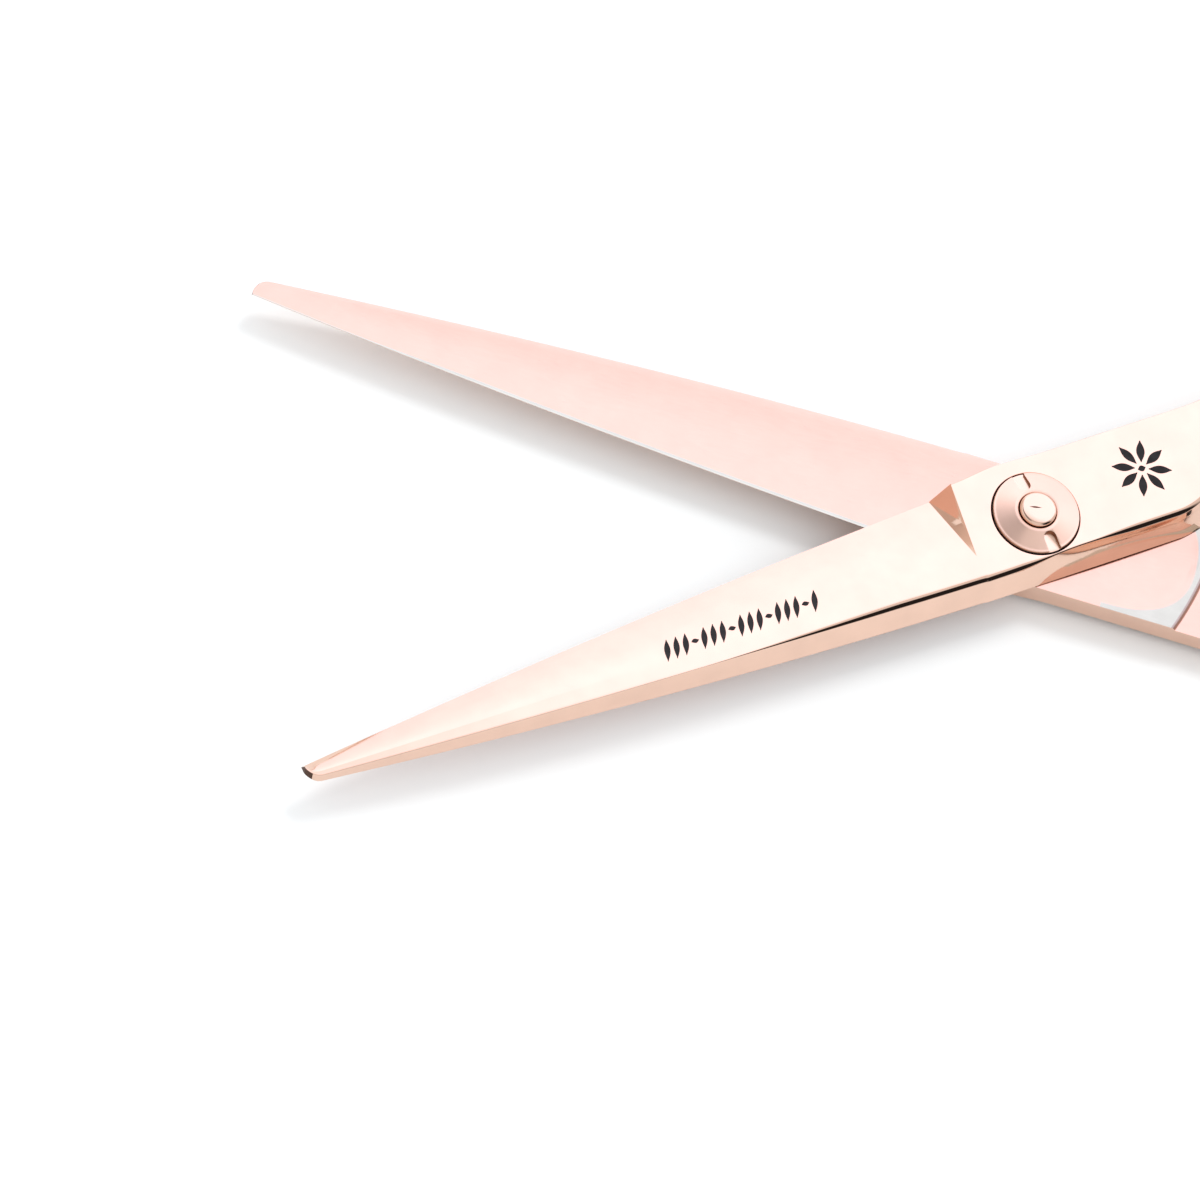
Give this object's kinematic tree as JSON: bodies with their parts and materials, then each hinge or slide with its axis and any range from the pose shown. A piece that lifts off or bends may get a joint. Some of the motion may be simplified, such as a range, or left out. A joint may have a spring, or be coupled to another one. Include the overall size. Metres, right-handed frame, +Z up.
{
  "type": "hair cutting shears",
  "caption": "Offset-handle hair cutting shears in mirror-polished rose gold steel, with a slotted tension nut, soft ring inserts, a bumper and a screwed finger rest.",
  "frame": {"origin": "on the pivot's axis, at the plain bottom face of the pivot stud's head, which is also the table plane", "axes": "+Z up, along the pivot's axis towards the tension nut; +X towards the handles, along the line that halves the opening, so the blades point to -X; +Y towards the finger half's handle"},
  "size_m": [0.159, 0.1026, 0.0075],
  "materials": {
    "rose_gold_steel": "mirror-polished steel with a rose gold coat; the ride lines and lapped flats of the inner faces are bare steel",
    "rose_gold_nut": "rose gold coat over a spun, radially brushed face",
    "bare_steel": "turned steel",
    "bush_bronze": "sintered bearing bronze",
    "slip_polymer": "low-friction polymer, matt",
    "soft_rubber": "soft silicone, satin"
  },
  "bodies": {
    "finger_half": {"upper_blade": "rose_gold_steel", "finger_handle": "rose_gold_steel", "finger_insert": "soft_rubber", "pivot_bush": "bush_bronze"},
    "thumb_half": {"lower_blade": "rose_gold_steel", "thumb_handle": "rose_gold_steel", "thumb_insert": "soft_rubber", "pivot_stud": "bare_steel", "blade_washer": "slip_polymer", "spring_washer": "bare_steel", "bumper": "soft_rubber"},
    "nut_washer": {"friction_washer": "slip_polymer"},
    "tension_nut": {"tension_nut": "rose_gold_nut"},
    "rest_washer": {"finger_rest_washer": "slip_polymer"},
    "finger_rest": {"finger_rest": "rose_gold_steel", "finger_rest_stud": "bare_steel"}
  },
  "joints": [
    {"name": "blade_pivot", "type": "hinge", "parent": "finger_half", "child": "thumb_half", "pos_m": [0, 0, 0.0035], "axis": [0, 0, 1], "range_deg": [-102.7, 37.3]},
    {"name": "nut_travel", "type": "slide", "parent": "thumb_half", "child": "nut_washer", "axis": [0, 0, 1], "range_m": [-0.000083, 0.00025], "deforming": ["spring_washer"]},
    {"name": "nut_turn", "type": "hinge", "parent": "nut_washer", "child": "tension_nut", "pos_m": [0, 0, 0.0065], "axis": [0, 0, 1], "range_deg": [-60, 180]},
    {"name": "rest_travel", "type": "slide", "parent": "finger_half", "child": "rest_washer", "axis": [0.9933, 0.1158, 0], "range_m": [0, 0.0027]},
    {"name": "rest_turn", "type": "hinge", "parent": "rest_washer", "child": "finger_rest", "pos_m": [0.07029, 0.03869, 0.0035], "axis": [0.9933, 0.1158, 0], "range_deg": [0, 2160.2]}
  ],
  "couplings": [
    {"joint": "nut_turn", "follows": "nut_travel", "rad_per_m": 12566},
    {"joint": "rest_turn", "follows": "rest_travel", "rad_per_m": 13963}
  ]
}
